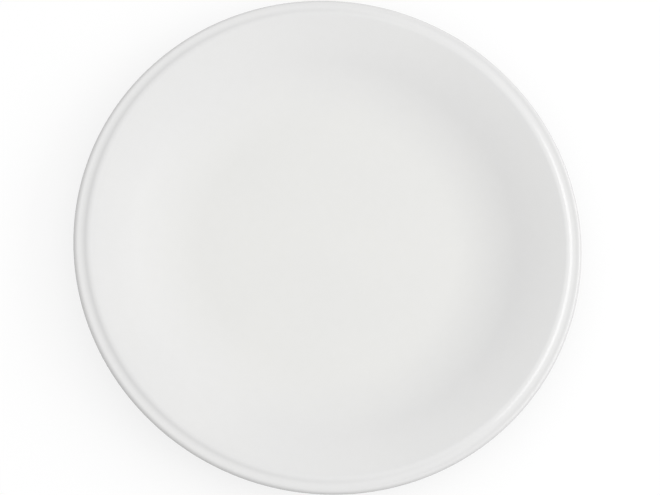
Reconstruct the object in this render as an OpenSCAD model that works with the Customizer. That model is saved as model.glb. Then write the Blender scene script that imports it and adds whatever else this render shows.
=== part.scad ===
// Coupe dinner plate: one fired clay body with a bare foot ring, and the two glaze coats on it.
// The origin is the middle of the standing face, with +Z up. All lengths are in millimetres.

/* [Dish] */
// Outer diameter, over the glaze
plate_d = 270; // [240:1:320]
// Diameter of the flat floor in the middle
floor_d = 137; // [100:1:180]
// Diameter at which the wall is steepest
steep_d = 204; // [190:1:230]
// Slope of the wall where it is steepest, in degrees
steep_a = 24; // [19:0.5:32]
// Slope of the wall where it reaches the ridge, in degrees
shoulder_a = 17; // [6:0.5:18]
// Thickness of the dish, with its glaze
wall_t = 5.2; // [3.5:0.1:8]

/* [Rim] */
// Radius of the low ridge at the top of the wall
ridge_r = 4.4; // [1.5:0.1:6]
// Slope of the ridge's outer side, in degrees
ridge_a = 25; // [10:1:40]
// Radius of the shallow channel between the ridge and the edge
channel_r = 5.4; // [3:0.1:8]
// Slope of the channel's outer side, in degrees
channel_a = 13; // [5:1:30]
// Radius of the upper roll of the edge
edge_top_r = 2.2; // [0.8:0.1:3]
// Radius of the lower roll of the edge
edge_under_r = 2.1; // [1:0.1:4]

/* [Foot ring] */
// Outer diameter of the foot ring
foot_d = 160; // [120:1:190]
// Width of the foot ring
foot_w = 5; // [3:0.1:10]
// Height of the recess inside the foot ring
foot_h = 3.6; // [2.6:0.1:8]
// Radius of the bare roundings beside the standing face
foot_edge_r = 1.2; // [0.5:0.1:1.4]
// Radius of the fillets between the foot ring and the dish
foot_fillet_r = 1.8; // [0.5:0.1:4]

/* [Glaze] */
// Thickness of the glaze coats
glaze_t = 0.35; // [0.15:0.05:0.8]

/* [Hidden] */

// Steps along a long sweep of the section, along a short roll of it, and around the axis
sweep_steps = 12;
roll_steps = 8;
$fn = 96;

// Points of an outline that are closer together than this are one point
weld = 0.001;

// The section is a chain of arcs that meet smoothly. It is worked out from the edge inwards, as the
// finished surface. Points are [distance from the axis, height above the standing face].
plate_r = plate_d / 2;
floor_r = floor_d / 2;
steep_r = steep_d / 2;
floor_z = foot_h + wall_t;

// Distances from the axis at which the rim's arcs meet
edge_top_in_r = plate_r - edge_top_r * (1 + sin(channel_a));
channel_in_r = edge_top_in_r - channel_r * (sin(channel_a) + sin(ridge_a));
ridge_in_r = channel_in_r - ridge_r * (sin(ridge_a) + sin(shoulder_a));

// The wall is a hollow sweep up to its steepest place, and then a flare that eases it to the ridge
sweep_r = (steep_r - floor_r) / sin(steep_a);
flare_r = (ridge_in_r - steep_r) / (sin(steep_a) - sin(shoulder_a));

// Centres of the arcs of the face, from the floor outwards
sweep_c = [floor_r, floor_z + sweep_r];
flare_c = sweep_c + (sweep_r + flare_r) * [sin(steep_a), -cos(steep_a)];
ridge_c = flare_c + (flare_r - ridge_r) * [-sin(shoulder_a), cos(shoulder_a)];
channel_c = ridge_c + (ridge_r + channel_r) * [sin(ridge_a), cos(ridge_a)];
edge_top_c = channel_c + (channel_r + edge_top_r) * [sin(channel_a), -cos(channel_a)];
edge_under_c = [plate_r - edge_under_r, edge_top_c.y];

// Below, the dish keeps its thickness up to the steepest place. From there one arc, which touches the
// edge's lower roll, carries the underside to the edge.
under_sweep_r = sweep_r + wall_t;
steep_down = [sin(steep_a), -cos(steep_a)];
under_steep = sweep_c + under_sweep_r * steep_down;
to_edge = edge_under_c - under_steep;
under_flare_r = (to_edge * to_edge - edge_under_r ^ 2) / (2 * (to_edge * steep_down + edge_under_r));
under_flare_c = under_steep + under_flare_r * steep_down;
from_flare = edge_under_c - under_flare_c;
under_edge_a = atan(-from_flare.x / from_flare.y);

// The foot ring's walls are upright. The glaze stops at the foot ring's roundings.
foot_out_r = foot_d / 2;
foot_in_r = foot_out_r - foot_w;
fillet_r = min(foot_fillet_r, foot_h - foot_edge_r);
fillet_out_c = fillet_c(foot_out_r + glaze_t + fillet_r);
fillet_in_c = fillet_c(foot_in_r - glaze_t - fillet_r);

// Centre of the underside's sweep in the recess, which is all flat where the foot ring is the smaller
recess_sweep_c = [min(floor_r, fillet_in_c.x), sweep_c.y];

// Centre of a fillet that touches the underside from below, at distance r from the axis
function fillet_c(r) = [r, sweep_c.y - sqrt((under_sweep_r + fillet_r) ^ 2 - max(r - floor_r, 0) ^ 2)];

// Slope of the underside where a fillet with the centre c meets it
function fillet_a(c) = asin(max(c.x - floor_r, 0) / (under_sweep_r + fillet_r));

// Points along an arc, from one angle to another
function arc(c, r, from, to, steps) =
    [for (i = [0:steps]) let (a = from + (to - from) * i / steps) c + r * [cos(a), sin(a)]];

function reversed(points) = [for (i = [len(points) - 1:-1:0]) points[i]];

// An outline without the points that repeat the one before them, as where two arcs meet
function welded(points) =
    [for (i = [0:len(points) - 1]) if (i == 0 || norm(points[i] - points[i - 1]) > weld) points[i]];

// From the axis over the eating face to the widest place of the edge, at a depth below the finish
function face_line(depth) = concat(
    [[0, floor_z - depth]],
    arc(sweep_c, sweep_r + depth, -90, -90 + steep_a, sweep_steps),
    arc(flare_c, flare_r - depth, 90 + steep_a, 90 + shoulder_a, sweep_steps),
    arc(ridge_c, ridge_r - depth, 90 + shoulder_a, 90 - ridge_a, roll_steps),
    arc(channel_c, channel_r + depth, -90 - ridge_a, -90 + channel_a, roll_steps),
    arc(edge_top_c, edge_top_r - depth, 90 + channel_a, 0, roll_steps)
);

// From the widest place of the edge along the outside, down to where the glaze stops on the foot ring
function outside_line(depth) = concat(
    arc(edge_under_c, edge_under_r - depth, 0, -90 + under_edge_a, roll_steps),
    arc(under_flare_c, under_flare_r + depth, 90 + under_edge_a, 90 + steep_a, sweep_steps),
    arc(sweep_c, under_sweep_r - depth, -90 + steep_a, -90 + fillet_a(fillet_out_c), sweep_steps),
    arc(fillet_out_c, fillet_r + depth, 90 + fillet_a(fillet_out_c), 180, roll_steps),
    [[foot_out_r + glaze_t - depth, foot_edge_r]]
);

// All of the plate's skin outside the foot ring
function skin_line(depth) = concat(face_line(depth), outside_line(depth));

// The bare bottom of the foot ring, from its outer wall to its inner wall
standing_line = concat(
    arc([foot_out_r - foot_edge_r, foot_edge_r], foot_edge_r, 0, -90, roll_steps),
    arc([foot_in_r + foot_edge_r, foot_edge_r], foot_edge_r, -90, -180, roll_steps)
);

// From where the glaze stops inside the foot ring, up and across the recess to the axis
function recess_line(depth) = concat(
    [[foot_in_r - glaze_t + depth, foot_edge_r]],
    arc(fillet_in_c, fillet_r + depth, 0, 90 + fillet_a(fillet_in_c), roll_steps),
    arc(recess_sweep_c, under_sweep_r - depth, -90 + fillet_a(fillet_in_c), -90, roll_steps),
    [[0, foot_h + depth]]
);

module clay_body()
    color("oldlace")
    rotate_extrude()
    polygon(welded(concat(skin_line(glaze_t), standing_line, recess_line(glaze_t))));

module outer_glaze()
    color("whitesmoke")
    rotate_extrude()
    polygon(welded(concat(skin_line(0), reversed(skin_line(glaze_t)))));

module foot_well_glaze()
    color("whitesmoke")
    rotate_extrude()
    polygon(welded(concat(recess_line(0), reversed(recess_line(glaze_t)))));

clay_body();
outer_glaze();
foot_well_glaze();
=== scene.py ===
# %% [markdown]
# # A coupe dinner plate
# A coupe plate has no flat rim: its wall sweeps up from the floor to the edge in one curve. This one
# is white and glossy, with a low ridge just inside the edge. It is made of three pieces: the fired
# clay body, the glaze that runs over all of its outside, and the glaze in the recess of its foot.
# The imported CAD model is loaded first, and every piece is made in its frame, in metres.

# %% Load the frame
import math

import bmesh
import bpy
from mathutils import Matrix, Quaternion, Vector


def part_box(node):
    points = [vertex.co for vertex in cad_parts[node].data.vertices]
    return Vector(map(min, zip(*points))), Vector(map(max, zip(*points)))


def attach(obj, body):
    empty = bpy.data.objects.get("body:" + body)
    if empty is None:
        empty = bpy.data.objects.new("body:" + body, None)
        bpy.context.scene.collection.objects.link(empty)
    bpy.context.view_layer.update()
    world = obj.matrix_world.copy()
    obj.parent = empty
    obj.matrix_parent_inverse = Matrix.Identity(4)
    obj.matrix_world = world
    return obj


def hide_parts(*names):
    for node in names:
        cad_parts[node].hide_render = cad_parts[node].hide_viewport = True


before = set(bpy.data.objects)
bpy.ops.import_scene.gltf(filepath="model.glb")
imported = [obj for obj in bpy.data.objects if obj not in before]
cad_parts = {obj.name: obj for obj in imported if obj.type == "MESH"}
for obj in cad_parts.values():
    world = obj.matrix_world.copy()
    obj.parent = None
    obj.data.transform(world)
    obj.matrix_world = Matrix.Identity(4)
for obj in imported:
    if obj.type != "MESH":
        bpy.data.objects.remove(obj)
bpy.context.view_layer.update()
print("nodes:", sorted(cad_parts))

# %% [markdown]
# ## Sizes
# What the frame can tell is measured on it: the plate's radius, the thickness of the glaze, and where
# the glaze stops on the foot ring. The other sizes are the ones that the solids were drawn with.

# %% Sizes of the section
mm = 0.001

glaze_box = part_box("outer_glaze")
clay_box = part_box("clay_body")
well_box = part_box("foot_well_glaze")
plate_r = glaze_box[1].x
glaze_t = glaze_box[1].x - clay_box[1].x
foot_in_r = well_box[1].x
foot_edge_r = well_box[0].z

# The dish: its flat floor, the steepest place of its wall, and the wall's slope at the ridge
floor_r = 68.5 * mm
steep_r = 102 * mm
steep_a = math.radians(24)
shoulder_a = math.radians(17)
wall_t = 5.2 * mm

# The rim: radii of its rolls, and slopes of the outer sides of the ridge and the channel
ridge_r = 4.4 * mm
ridge_a = math.radians(25)
channel_r = 5.4 * mm
channel_a = math.radians(13)
edge_top_r = 2.2 * mm
edge_under_r = 2.1 * mm

# The foot ring
foot_w = 5 * mm
foot_h = 3.6 * mm
foot_fillet_r = 1.8 * mm
print(f"plate radius {plate_r / mm:.2f} mm, glaze {glaze_t / mm:.2f} mm")

# %% [markdown]
# ## The eating face in section
# Seen in section, the plate is a chain of arcs that run smoothly into each other. An arc is known by
# its centre and by how far the line turns around it, so that is all that has to be worked out. Points
# of the section are (distance from the axis, height). The same centres serve for the finished surface
# and for the clay below it, because the two lines run side by side.

# %% Centres of the arcs of the eating face
def down_at(angle):
    """Direction from an arc's centre to its lowest point, turned by an angle."""
    return Vector((math.sin(angle), -math.cos(angle)))


floor_z = foot_h + wall_t
edge_top_in_r = plate_r - edge_top_r * (1 + math.sin(channel_a))
channel_in_r = edge_top_in_r - channel_r * (math.sin(channel_a) + math.sin(ridge_a))
ridge_in_r = channel_in_r - ridge_r * (math.sin(ridge_a) + math.sin(shoulder_a))
sweep_r = (steep_r - floor_r) / math.sin(steep_a)
flare_r = (ridge_in_r - steep_r) / (math.sin(steep_a) - math.sin(shoulder_a))

sweep_c = Vector((floor_r, floor_z + sweep_r))
flare_c = sweep_c + (sweep_r + flare_r) * down_at(steep_a)
ridge_c = flare_c - (flare_r - ridge_r) * down_at(shoulder_a)
channel_c = ridge_c - (ridge_r + channel_r) * down_at(-ridge_a)
edge_top_c = channel_c + (channel_r + edge_top_r) * down_at(channel_a)
edge_under_c = Vector((plate_r - edge_under_r, edge_top_c.y))
print(f"wall: sweep {sweep_r / mm:.0f} mm, flare {flare_r / mm:.0f} mm in radius")

# %% [markdown]
# ## The underside in section
# Below, the dish keeps its thickness up to the steepest place of the wall. From there one arc carries the
# underside to the edge. Two facts give its radius: it starts at the wall's own slope, and it touches the
# lower roll of the edge. Fillets join the foot ring to the dish, as clay isn't pressed into sharp corners.

# %% Centres of the arcs of the underside and the foot
under_sweep_r = sweep_r + wall_t
under_steep = sweep_c + under_sweep_r * down_at(steep_a)
to_edge = edge_under_c - under_steep
under_flare_r = (to_edge.length_squared - edge_under_r ** 2) / (
    2 * (to_edge.dot(down_at(steep_a)) + edge_under_r))
under_flare_c = under_steep + under_flare_r * down_at(steep_a)
from_flare = edge_under_c - under_flare_c
under_edge_a = math.atan2(-from_flare.x, from_flare.y)

foot_out_r = foot_in_r + foot_w
fillet_r = min(foot_fillet_r, foot_h - foot_edge_r)


def fillet_at(distance):
    """Centre of a fillet under the dish, and the slope of the underside where the two meet."""
    slope = math.asin((distance - floor_r) / (under_sweep_r + fillet_r))
    return sweep_c + (under_sweep_r + fillet_r) * down_at(slope), slope


fillet_out_c, fillet_out_a = fillet_at(foot_out_r + glaze_t + fillet_r)
fillet_in_c, fillet_in_a = fillet_at(foot_in_r - glaze_t - fillet_r)
print(f"edge: the underside meets the roll at {math.degrees(under_edge_a):.1f} degrees")

# %% [markdown]
# ## Drawing a profile with one vertex
# A turned piece starts as its profile. Here a plane is merged to a single vertex, which is then used as
# a pen: Extrude draws a straight line with it, and Spin around a point draws an arc. A curve object
# could be drawn and converted instead, but with the pen every arc keeps its exact radius.

# %% The pen
pen_plane = 1 * mm


def start_profile(name, point):
    """A new piece that is one selected vertex in edit mode."""
    bpy.ops.object.select_all(action="DESELECT")
    bpy.ops.mesh.primitive_plane_add(size=pen_plane)
    piece = bpy.context.object
    piece.name = name
    bpy.ops.object.mode_set(mode="EDIT")
    bpy.ops.mesh.select_all(action="SELECT")
    bpy.ops.mesh.merge(type="CENTER")
    bpy.ops.transform.translate(value=(point[0], 0, point[1]))
    return piece


def line_to(point, steps):
    """Extrude the pen straight to a point of the section."""
    mesh = bmesh.from_edit_mesh(bpy.context.object.data)
    tip = next(vertex.co for vertex in mesh.verts if vertex.select)
    stride = (Vector((point[0], 0, point[1])) - tip) / steps
    for _ in range(steps):
        bpy.ops.mesh.extrude_region_move(TRANSFORM_OT_translate={"value": stride})


def roll_about(centre, turn, steps):
    """Spin the pen around a centre, anticlockwise where the turn is positive."""
    bpy.ops.mesh.spin(steps=steps, angle=turn, center=(centre[0], 0, centre[1]), axis=(0, 1, 0))


print(f"pen: merged from a plane of {pen_plane / mm:.0f} mm")

# %% [markdown]
# ## Lines of the section
# Three stretches make up every piece: the skin from the middle of the floor over the edge to the foot,
# the bare bottom of the foot ring, and the ceiling of the recess inside it. Each is drawn at a depth below
# the finished surface, so the glaze and the clay share one description. Tight rolls get short steps, because
# that is where reflections would show facets first.

# %% Stretches of the profile
quarter = math.pi / 2


def draw_skin(depth):
    """From the floor over the edge, and down to where the glaze stops on the foot ring."""
    line_to((floor_r, floor_z - depth), steps=8)
    roll_about(sweep_c, steep_a, steps=20)
    roll_about(flare_c, shoulder_a - steep_a, steps=10)
    roll_about(ridge_c, -shoulder_a - ridge_a, steps=8)
    roll_about(channel_c, ridge_a + channel_a, steps=10)
    roll_about(edge_top_c, -quarter - channel_a, steps=10)
    roll_about(edge_under_c, under_edge_a - quarter, steps=8)
    roll_about(under_flare_c, steep_a - under_edge_a, steps=16)
    roll_about(sweep_c, fillet_out_a - steep_a, steps=12)
    roll_about(fillet_out_c, quarter - fillet_out_a, steps=6)
    line_to((foot_out_r + glaze_t - depth, foot_edge_r), steps=2)


def draw_standing_face():
    """Around the bare bottom of the foot ring, from its outer wall to its inner wall."""
    roll_about((foot_out_r - foot_edge_r, foot_edge_r), -quarter, steps=6)
    line_to((foot_in_r + foot_edge_r, 0), steps=3)
    roll_about((foot_in_r + foot_edge_r, foot_edge_r), -quarter, steps=6)


def draw_recess(depth):
    """Up the foot ring's inner wall and across the recess to the axis."""
    line_to((foot_in_r - glaze_t + depth, fillet_in_c.y), steps=2)
    roll_about(fillet_in_c, quarter + fillet_in_a, steps=6)
    roll_about(sweep_c, -fillet_in_a, steps=3)
    line_to((0, foot_h + depth), steps=8)


print(f"section: floor at {floor_z / mm:.1f} mm, ridge at {(ridge_c.y + ridge_r) / mm:.1f} mm")

# %% [markdown]
# ## The wheel
# A wheel turns clay against a still tool. Spin does the same with a profile: it carries it around the
# plate's axis and leaves faces behind. A Screw modifier could turn it as well, but Spin leaves plain points
# that can be merged at once. The end of the turn falls on its start, and the points on the axis fall
# together, so doubles are merged. Only then are the normals turned outwards.

# %% The wheel
steps_per_turn = 240
weld = 0.002 * mm


def turn_on_wheel(piece):
    """Spin the profile once around the plate's axis, and close the seam and the poles."""
    bpy.ops.mesh.select_all(action="SELECT")
    bpy.ops.mesh.spin(steps=steps_per_turn, angle=math.tau, center=(0, 0, 0), axis=(0, 0, 1))
    bpy.ops.mesh.select_all(action="SELECT")
    bpy.ops.mesh.remove_doubles(threshold=weld)
    bpy.ops.mesh.normals_make_consistent(inside=False)
    bpy.ops.object.mode_set(mode="OBJECT")
    print(f"{piece.name}: {len(piece.data.vertices)} vertices, {len(piece.data.polygons)} faces")


print(f"wheel: {steps_per_turn} steps of {360 / steps_per_turn} degrees")

# %% [markdown]
# ## The clay body
# A dinner plate is pressed from soft clay between a turning mould and a shaped tool, so it is as round
# as anything made on a wheel. Its profile goes once around the section and is spun into a closed solid.
# A coarse shape under a Subdivision Surface would be lighter, but its rolls would lose their radii.

# %% Clay body
bisque_body = start_profile("bisque_body", (0, floor_z - glaze_t))
draw_skin(glaze_t)
draw_standing_face()
draw_recess(glaze_t)
turn_on_wheel(bisque_body)

# %% [markdown]
# ## The glaze coats
# Glaze is a skin of glass. Each coat is spun as the surface that is seen, and a Solidify modifier then
# gives it its thickness towards the clay. Both sides could be drawn instead, but Solidify keeps the coat
# equally thick along every arc. A small bevel rounds the lip where the glass ends at the foot, as molten
# glass draws itself round.

# %% Coats of glaze
lip_width_share = 0.3
lip_segments = 3
lip_angle = math.radians(50)


def thicken_coat(piece, towards):
    """Give a spun surface the thickness of the glaze and a rounded lip."""
    solidify = piece.modifiers.new("coat", "SOLIDIFY")
    solidify.thickness = glaze_t
    solidify.offset = towards
    solidify.use_even_offset = True
    bevel = piece.modifiers.new("lip", "BEVEL")
    bevel.width = lip_width_share * glaze_t
    bevel.segments = lip_segments
    bevel.limit_method = "ANGLE"
    bevel.angle_limit = lip_angle
    for modifier in (solidify.name, bevel.name):
        bpy.ops.object.modifier_apply(modifier=modifier)


outer_coat = start_profile("outer_coat", (0, floor_z))
draw_skin(0)
turn_on_wheel(outer_coat)
thicken_coat(outer_coat, towards=-1)

recess_coat = start_profile("recess_coat", (foot_in_r - glaze_t, foot_edge_r))
draw_recess(0)
turn_on_wheel(recess_coat)
thicken_coat(recess_coat, towards=1)

# %% [markdown]
# ## A rim that is not quite true
# Clay softens in the kiln, and a rim never comes out of it as true as it went in. A Displace modifier with
# a slow cloud texture lowers the rim here and there by a few tenths of a millimetre. The clouds are read at
# each point's own place, so the clay and its glaze move together. A vertex group says how much of the wave
# each point takes. Moving points by hand would be quicker, but clay and glaze would then come apart.

# %% Sway of the rim
rim_sway = 0.5 * mm
rim_sway_length = 45 * mm
still_margin = 10 * mm
full_margin = 5 * mm
sway_from_r = foot_out_r + still_margin
sway_full_r = plate_r - full_margin


def add_clouds(name, size):
    """A cloud texture whose lumps have about this size."""
    clouds = bpy.data.textures.new(name, "CLOUDS")
    clouds.noise_scale = size
    clouds.noise_depth = 1
    return clouds


def smooth_step(low, high, value):
    """From 0 at the first value to 1 at the second, without a kink."""
    share = min(max((value - low) / (high - low), 0), 1)
    return share * share * (3 - 2 * share)


def take_up(piece):
    """Make a piece the active one, and the only one that is selected."""
    bpy.ops.object.select_all(action="DESELECT")
    piece.select_set(True)
    bpy.context.view_layer.objects.active = piece


def wave_height(piece, clouds, depth, still, weigh):
    """Move a piece's points up or down by the clouds, each by its own weight."""
    group = piece.vertex_groups.new(name=clouds.name)
    for vertex in piece.data.vertices:
        group.add([vertex.index], weigh(vertex.co), "REPLACE")
    wave = piece.modifiers.new(clouds.name, "DISPLACE")
    wave.texture = clouds
    wave.texture_coords = "LOCAL"
    wave.direction = "Z"
    wave.strength = depth
    wave.mid_level = still
    wave.vertex_group = group.name
    take_up(piece)
    bpy.ops.object.modifier_apply(modifier=wave.name)
    piece.vertex_groups.clear()


def rim_share(point):
    """None of the sway over the foot ring, and all of it at the rim."""
    return smooth_step(sway_from_r, sway_full_r, point.xy.length)


rim_clouds = add_clouds("rim_sway", rim_sway_length)
for piece in (bisque_body, outer_coat):
    wave_height(piece, rim_clouds, rim_sway, still=1, weigh=rim_share)
    print(f"{piece.name}: {max(vertex.co.z for vertex in piece.data.vertices) / mm:.2f} mm high")

# %% [markdown]
# ## The wiped end of the glaze
# Glaze is wiped off the foot with a sponge before firing, and the line that this leaves wavers. The same
# kind of wave lifts the end of both coats here and there, and dies away a little higher up the foot ring.

# %% Waver of the glaze's end
glaze_end_waver = 0.45 * mm
glaze_end_length = 14 * mm
waver_full_height = 0.1 * mm
waver_reach = 0.9 * mm
waver_full_z = foot_edge_r + waver_full_height
waver_top_z = foot_edge_r + waver_reach
foot_middle_r = foot_in_r + foot_w / 2


def glaze_end_share(point):
    """All of the waver at the end of the glaze, and none of it away from the foot ring."""
    near_foot = abs(point.xy.length - foot_middle_r) < foot_w
    return smooth_step(waver_top_z, waver_full_z, point.z) if near_foot else 0


lip_clouds = add_clouds("glaze_end", glaze_end_length)
for piece in (outer_coat, recess_coat):
    wave_height(piece, lip_clouds, glaze_end_waver, still=0, weigh=glaze_end_share)
    print(f"{piece.name}: ends {min(vertex.co.z for vertex in piece.data.vertices) / mm:.2f} mm up")

# %% [markdown]
# ## Smooth shading
# Fired glass and clay show no facets. Faces are shaded smoothly, except across sharp corners, where smooth
# shading would smear the light from one side to the other. The volume and the open edges show whether a
# piece is a closed solid, as a body of clay or glass has to be.

# %% Smooth shading
cm = 10 * mm
sharp_corner = math.radians(40)

for piece in (bisque_body, outer_coat, recess_coat):
    take_up(piece)
    bpy.ops.object.shade_smooth_by_angle(angle=sharp_corner)
    solid = bmesh.new()
    solid.from_mesh(piece.data)
    print(f"{piece.name}: {solid.calc_volume(signed=True) / cm ** 3:.2f} cm3, "
          f"{sum(not edge.is_manifold for edge in solid.edges)} open edges")
    solid.free()

# %% [markdown]
# ## Finishes
# Both finishes are made of noise that is read at a point's place on the piece, so they have no seam. Pictures
# could be wrapped around the plate instead, but they would need a map and would blur from close by. A few
# helpers keep the node trees readable: they start a finish, add a node, add noise with lumps of a given
# size, and turn a value into a range.

# %% Nodes and noise
noise_low = 0.3
noise_high = 0.7


def new_finish(name):
    """A material, its node tree, its shader, and the place of the shaded point."""
    finish = bpy.data.materials.new(name)
    finish.use_nodes = True
    tree = finish.node_tree
    place = tree.nodes.new("ShaderNodeTexCoord").outputs["Object"]
    return finish, tree, tree.nodes["Principled BSDF"], place


def add_node(tree, kind, links=None, **settings):
    """A node with its settings, and with outputs linked to its inputs."""
    node = tree.nodes.new(kind)
    for name, value in settings.items():
        setattr(node, name, value)
    for name, output in (links or {}).items():
        tree.links.new(output, node.inputs[name])
    return node


def noise(tree, place, lump, detail):
    """Noise between 0 and 1 with lumps of about this size."""
    node = add_node(tree, "ShaderNodeTexNoise", {"Vector": place})
    node.inputs["Scale"].default_value = 1 / lump
    node.inputs["Detail"].default_value = detail
    return node.outputs["Fac"]


def ranged(tree, value, low, high, start=noise_low, end=noise_high):
    """A value that runs from start to end, turned into one that runs from low to high."""
    node = add_node(tree, "ShaderNodeMapRange", {"Value": value})
    for name, number in (("From Min", start), ("From Max", end), ("To Min", low), ("To Max", high)):
        node.inputs[name].default_value = number
    return node.outputs["Result"]


print(f"noise: most of it lies between {noise_low} and {noise_high}")

# %% [markdown]
# ## White of the glaze
# The glaze is opaque white glass. It is a little creamier on the floor, where it lies thick, and a more
# neutral white up the wall. Over the ridge and the edge it thins, and the clay makes it a little darker.
# A colour ramp that is read along the distance from the axis gives rings of these whites. Colours could be
# painted on the points instead, but the rings would then be only as fine as the mesh.

# %% White of the glaze
ridge_crest_r = ridge_c.x
channel_low_r = channel_c.x
edge_crest_r = edge_top_c.x
ridge_blend = 5 * mm
thick_white = (0.837, 0.835, 0.817)
wall_white = (0.835, 0.833, 0.826)
thin_white = (0.826, 0.824, 0.820)
edge_white = (0.812, 0.809, 0.805)


def axis_distance(tree, place):
    """Distance of the shaded point from the plate's axis."""
    flat = add_node(tree, "ShaderNodeVectorMath", {0: place}, operation="MULTIPLY")
    flat.inputs[1].default_value = (1, 1, 0)
    length = add_node(tree, "ShaderNodeVectorMath", {0: flat.outputs["Vector"]}, operation="LENGTH")
    return length.outputs["Value"]


def colour_ring(tree, distance, rings):
    """A colour that changes with the distance from the axis."""
    last = rings[-1][0]
    node = add_node(tree, "ShaderNodeValToRGB", {"Fac": ranged(tree, distance, 0, 1, start=0, end=last)})
    stops = node.color_ramp.elements
    while len(stops) < len(rings):
        stops.new(1)
    for stop, (radius, colour) in zip(stops, rings):
        stop.position = radius / last
        stop.color = (*colour, 1)
    return node.outputs["Color"]


white_gloss, tree, shader, place = new_finish("white_gloss")
white = colour_ring(tree, axis_distance(tree, place), (
    (floor_r, thick_white),
    (steep_r, wall_white),
    (ridge_crest_r - ridge_blend, wall_white),
    (ridge_crest_r, thin_white),
    (channel_low_r, thin_white),
    (edge_crest_r, edge_white),
    (plate_r, edge_white),
))
print(f"{white_gloss.name}: thins over the ridge at {ridge_crest_r / mm:.1f} mm from the axis")

# %% [markdown]
# ## Clouds in the white
# A dipped coat drains and melts a little unevenly, so its white varies softly over centimetres and finely
# over millimetres. Two noises tint it by about a hundredth, which keeps it from looking printed.

# %% Clouds in the white
cloud_size = 60 * mm
cloud_tint = (0.985, 0.987, 0.99)
mottle_size = 5 * mm
mottle_tint = (0.992, 0.992, 0.990)


def tinted(tree, colour, share, tint):
    """A colour, multiplied by a tint where the share is high."""
    node = add_node(tree, "ShaderNodeMix", {"Factor": share}, data_type="RGBA", blend_type="MULTIPLY")
    tree.links.new(colour, node.inputs["A"])
    node.inputs["B"].default_value = (*tint, 1)
    return node.outputs["Result"]


clouds = noise(tree, place, cloud_size, detail=3)
white = tinted(tree, white, ranged(tree, clouds, 0, 1), cloud_tint)
mottle = noise(tree, place, mottle_size, detail=4)
white = tinted(tree, white, ranged(tree, mottle, 0, 1), mottle_tint)
tree.links.new(white, shader.inputs["Base Color"])
print(f"{white_gloss.name}: clouds of {cloud_size / mm:.0f} mm and mottle of {mottle_size / mm:.0f} mm")

# %% [markdown]
# ## Gloss of the glaze
# Glass that has set from a melt is glossy, but not a perfect mirror. The gloss varies a little, and two bumps
# shape the reflections: slow waves as glass sets with them, and the fine skin that is known as orange peel.
# They are far too shallow to be worth points in the mesh.

# %% Gloss of the glaze
gloss_size = 18 * mm
finest_roughness = 0.10
dullest_roughness = 0.19
wave_size = 26 * mm
wave_depth = 0.09 * mm
peel_size = 2.2 * mm
peel_depth = 0.004 * mm


def bumped(tree, height, depth, below=None):
    """A bump of the given depth, on top of another one."""
    node = add_node(tree, "ShaderNodeBump", {"Height": height})
    node.inputs["Distance"].default_value = depth
    if below:
        tree.links.new(below, node.inputs["Normal"])
    return node.outputs["Normal"]


gloss = ranged(tree, noise(tree, place, gloss_size, detail=5), finest_roughness, dullest_roughness)
tree.links.new(gloss, shader.inputs["Roughness"])
waves = bumped(tree, noise(tree, place, wave_size, detail=1), wave_depth)
skin = bumped(tree, noise(tree, place, peel_size, detail=2), peel_depth, below=waves)
tree.links.new(skin, shader.inputs["Normal"])
print(f"{white_gloss.name}: {len(tree.nodes)} nodes")

# %% [markdown]
# ## Colour of the bare clay
# Only the bottom of the foot ring shows the clay: a matt, pale buff body with a fine grain and a few darker
# grains of sand. It greys a little along the middle of the ring, where it has stood on tables. Rings of
# colour give the grey, and three noises the stains, the grain and the sand.

# %% Colour of the bare clay
clay_edge_in = (0.74, 0.70, 0.63)
clay_worn_in = (0.68, 0.645, 0.585)
clay_worn_out = (0.69, 0.655, 0.595)
clay_edge_out = (0.75, 0.71, 0.64)
worn_in_share = 0.3
worn_out_share = 0.7
stain_size = 9 * mm
stain_tint = (0.93, 0.92, 0.90)
grain_size = 0.7 * mm
grain_tint = (0.90, 0.89, 0.86)
sand_size = 1.3 * mm
sand_tint = (0.62, 0.56, 0.48)
sand_from = 0.70
sand_full = 0.76

bare_clay, tree, shader, place = new_finish("bare_clay")
distance = axis_distance(tree, place)
clay = colour_ring(tree, distance, (
    (foot_in_r, clay_edge_in),
    (foot_in_r + worn_in_share * foot_w, clay_worn_in),
    (foot_in_r + worn_out_share * foot_w, clay_worn_out),
    (foot_out_r, clay_edge_out),
))
stains = noise(tree, place, stain_size, detail=4)
clay = tinted(tree, clay, ranged(tree, stains, 0, 1), stain_tint)
grain = noise(tree, place, grain_size, detail=3)
clay = tinted(tree, clay, ranged(tree, grain, 0, 1), grain_tint)
sand = noise(tree, place, sand_size, detail=0)
clay = tinted(tree, clay, ranged(tree, sand, 0, 1, start=sand_from, end=sand_full), sand_tint)
tree.links.new(clay, shader.inputs["Base Color"])
print(f"{bare_clay.name}: grain of {grain_size / mm:.1f} mm, sand of {sand_size / mm:.1f} mm")

# %% [markdown]
# ## Feel of the bare clay
# Bare clay is rough to the finger. The foot is ground true on a wheel after firing, which leaves faint rings
# around the axis. Noise that is read along the distance from the axis alone gives the rings, and the grain is
# laid over them.

# %% Feel of the bare clay
clay_smoothest = 0.78
clay_roughest = 0.96
grind_pitch = 0.35 * mm
grind_depth = 0.02 * mm
grain_depth = 0.06 * mm

tree.links.new(ranged(tree, grain, clay_smoothest, clay_roughest), shader.inputs["Roughness"])
along = add_node(tree, "ShaderNodeCombineXYZ", {"X": distance}).outputs["Vector"]
rings = bumped(tree, noise(tree, along, grind_pitch, detail=2), grind_depth)
tree.links.new(bumped(tree, grain, grain_depth, below=rings), shader.inputs["Normal"])
print(f"{bare_clay.name}: {len(tree.nodes)} nodes")
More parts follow.
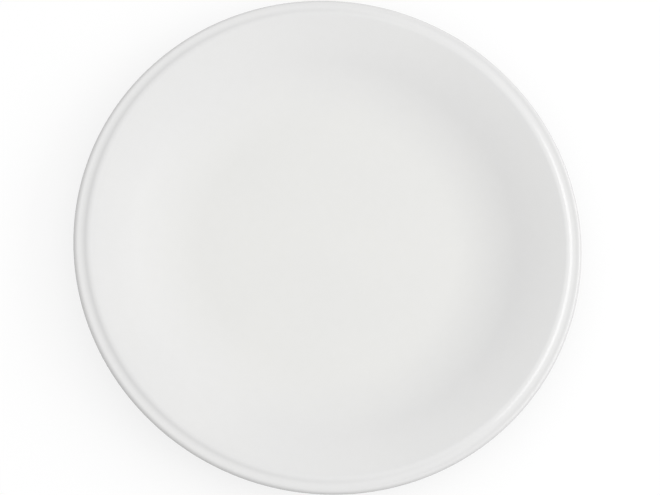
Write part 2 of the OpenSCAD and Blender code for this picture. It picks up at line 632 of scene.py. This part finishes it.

# %% [markdown]
# ## Pieces on the frame
# The plate has no moving part, so every piece rides on the one body. Each stands for one of the CAD model's
# solids, which is hidden, and gets its finish.

# %% Pieces on the frame
for piece, finish, node, slot in (
    (bisque_body, bare_clay, "clay_body", "fired_clay"),
    (outer_coat, white_gloss, "outer_glaze", "white_glaze"),
    (recess_coat, white_gloss, "foot_well_glaze", "white_glaze"),
):
    piece.data.materials.append(finish)
    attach(piece, "root")
    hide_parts(node)
    print(f"{piece.name} stands for {node}")

# %% [markdown]
# ## Floor
# The photograph's ground is pure white. A floor that is only painted white is never quite that under soft
# light, so part of its white is emission that just the camera and reflections see. The other part is paint
# that takes the plate's shadow, and it is grey enough to throw little light back at the plate's underside.

# %% Floor
floor_width = 12
paint_grey = 0.25
glow_grey = 0.765


def grey(level):
    """A colour that is equal in red, green and blue."""
    return level, level, level, 1


def seen_by_eye(tree):
    """One where the camera looks, straight or by a reflection or through glass, and else zero."""
    ray = add_node(tree, "ShaderNodeLightPath").outputs
    seen = ray["Is Camera Ray"]
    for kind in ("Is Glossy Ray", "Is Transmission Ray"):
        seen = add_node(tree, "ShaderNodeMath", {0: seen, 1: ray[kind]}, operation="MAXIMUM").outputs[0]
    return seen


bpy.ops.object.select_all(action="DESELECT")
bpy.ops.mesh.primitive_plane_add(size=floor_width)
floor = bpy.context.object
floor.name = "floor"
floor_paint, tree, shader, _ = new_finish("floor_paint")
shader.inputs["Base Color"].default_value = grey(paint_grey)
shader.inputs["Roughness"].default_value = 1
shader.inputs["Specular IOR Level"].default_value = 0
shader.inputs["Emission Color"].default_value = grey(glow_grey)
tree.links.new(seen_by_eye(tree), shader.inputs["Emission Strength"])
floor.data.materials.append(floor_paint)
print(f"{floor.name}: {floor_width} m wide")

# %% [markdown]
# ## Light tent
# White ware is often lit in a tent of white cloth. This one is lit mostly from above: it is brightest
# overhead, a little to the right, and dim near the table, so that the plate's edge darkens where it turns
# outwards. The world's light gives it without a mesh. The white that the camera and reflections see behind
# everything is no part of that light.

# %% Light tent
table_strength = 0.27
top_strength = 1.08
tent_top = Vector((0.06, 0, 1)).normalized()

tent = bpy.data.worlds.new("light_tent")
bpy.context.scene.world = tent
tent.use_nodes = True
tree = tent.node_tree
tent_light = tree.nodes["Background"]
tent_light.inputs["Color"].default_value = grey(1)

direction = add_node(tree, "ShaderNodeTexCoord").outputs["Generated"]
height = add_node(tree, "ShaderNodeVectorMath", {0: direction}, operation="DOT_PRODUCT")
height.inputs[1].default_value = tent_top
glow = ranged(tree, height.outputs["Value"], table_strength, top_strength, start=0, end=1)
strength = add_node(tree, "ShaderNodeMath", {0: glow, 1: seen_by_eye(tree)}, operation="MAXIMUM")
tree.links.new(strength.outputs[0], tent_light.inputs["Strength"])
print(f"tent: strength {top_strength} at its top and {table_strength} at the table")

# %% [markdown]
# ## Softbox
# One wide and low softbox on the right is added. Seen from above, only the steep outer side of the ridge can
# mirror it, as a bright line along the right of the rim. The nearer part of the ridge mirrors a higher place,
# so the softbox is slanted, with its near end up. It also shades the right of the dish, and the left side of
# the ridge. A glowing plane could do the same, but an area lamp renders with less noise. A lamp's power grows
# with its area, so it is worked out from how bright its face should look.

# %% Softbox
softbox_distance = 2.0
softbox_elevation = math.radians(33)
softbox_azimuth = math.radians(24)
softbox_slant = math.radians(-14)
softbox_width = 2.2
softbox_height = 0.88
softbox_radiance = 1.85
area_lamp_factor = 4

toward = Vector((math.cos(softbox_elevation) * math.cos(softbox_azimuth),
                 math.cos(softbox_elevation) * math.sin(softbox_azimuth), math.sin(softbox_elevation)))
bpy.ops.object.light_add(type="AREA", location=toward * softbox_distance)
softbox = bpy.context.object
softbox.name = "softbox"
facing = toward.to_track_quat("Z", "Y") @ Quaternion((0, 0, 1), softbox_slant)
softbox.rotation_euler = facing.to_euler()
softbox.data.shape = "RECTANGLE"
softbox.data.size = softbox_width
softbox.data.size_y = softbox_height
softbox.data.energy = area_lamp_factor * softbox_radiance * softbox_width * softbox_height
print(f"{softbox.name}: {softbox.data.energy:.1f} W")

# %% [markdown]
# ## Camera
# The photograph looks down on the plate from about 75 degrees, and its frame is turned against that tilt by
# about 20 degrees. Both are read from the plate's outline, which is a slightly flattened circle. The camera
# is aimed a little in front of the plate's middle, because perspective swells the near half.

# %% Camera
view_elevation = math.radians(74.6)
view_roll = math.radians(19.5)
view_distance = 0.968
view_lens = 100
view_nearest = 0.05
aim_offset = Vector((0.5 * mm, 5.1 * mm, 0))

back = Vector((0, -math.cos(view_elevation), math.sin(view_elevation)))
look = back.to_track_quat("Z", "Y") @ Quaternion((0, 0, 1), view_roll)
middle = Vector((0, 0, ridge_c.y + ridge_r))
aim = middle - look @ aim_offset
bpy.ops.object.camera_add(location=aim + back * view_distance)
camera = bpy.context.object
camera.rotation_mode = "QUATERNION"
camera.rotation_quaternion = look
camera.data.lens = view_lens
camera.data.clip_start = view_nearest
bpy.context.scene.camera = camera
print(f"camera at {tuple(round(number, 3) for number in camera.location)}")

# %% [markdown]
# ## Finish
# Colours are shown as they are written.

# %% Finish
bpy.context.scene.view_settings.view_transform = "Standard"
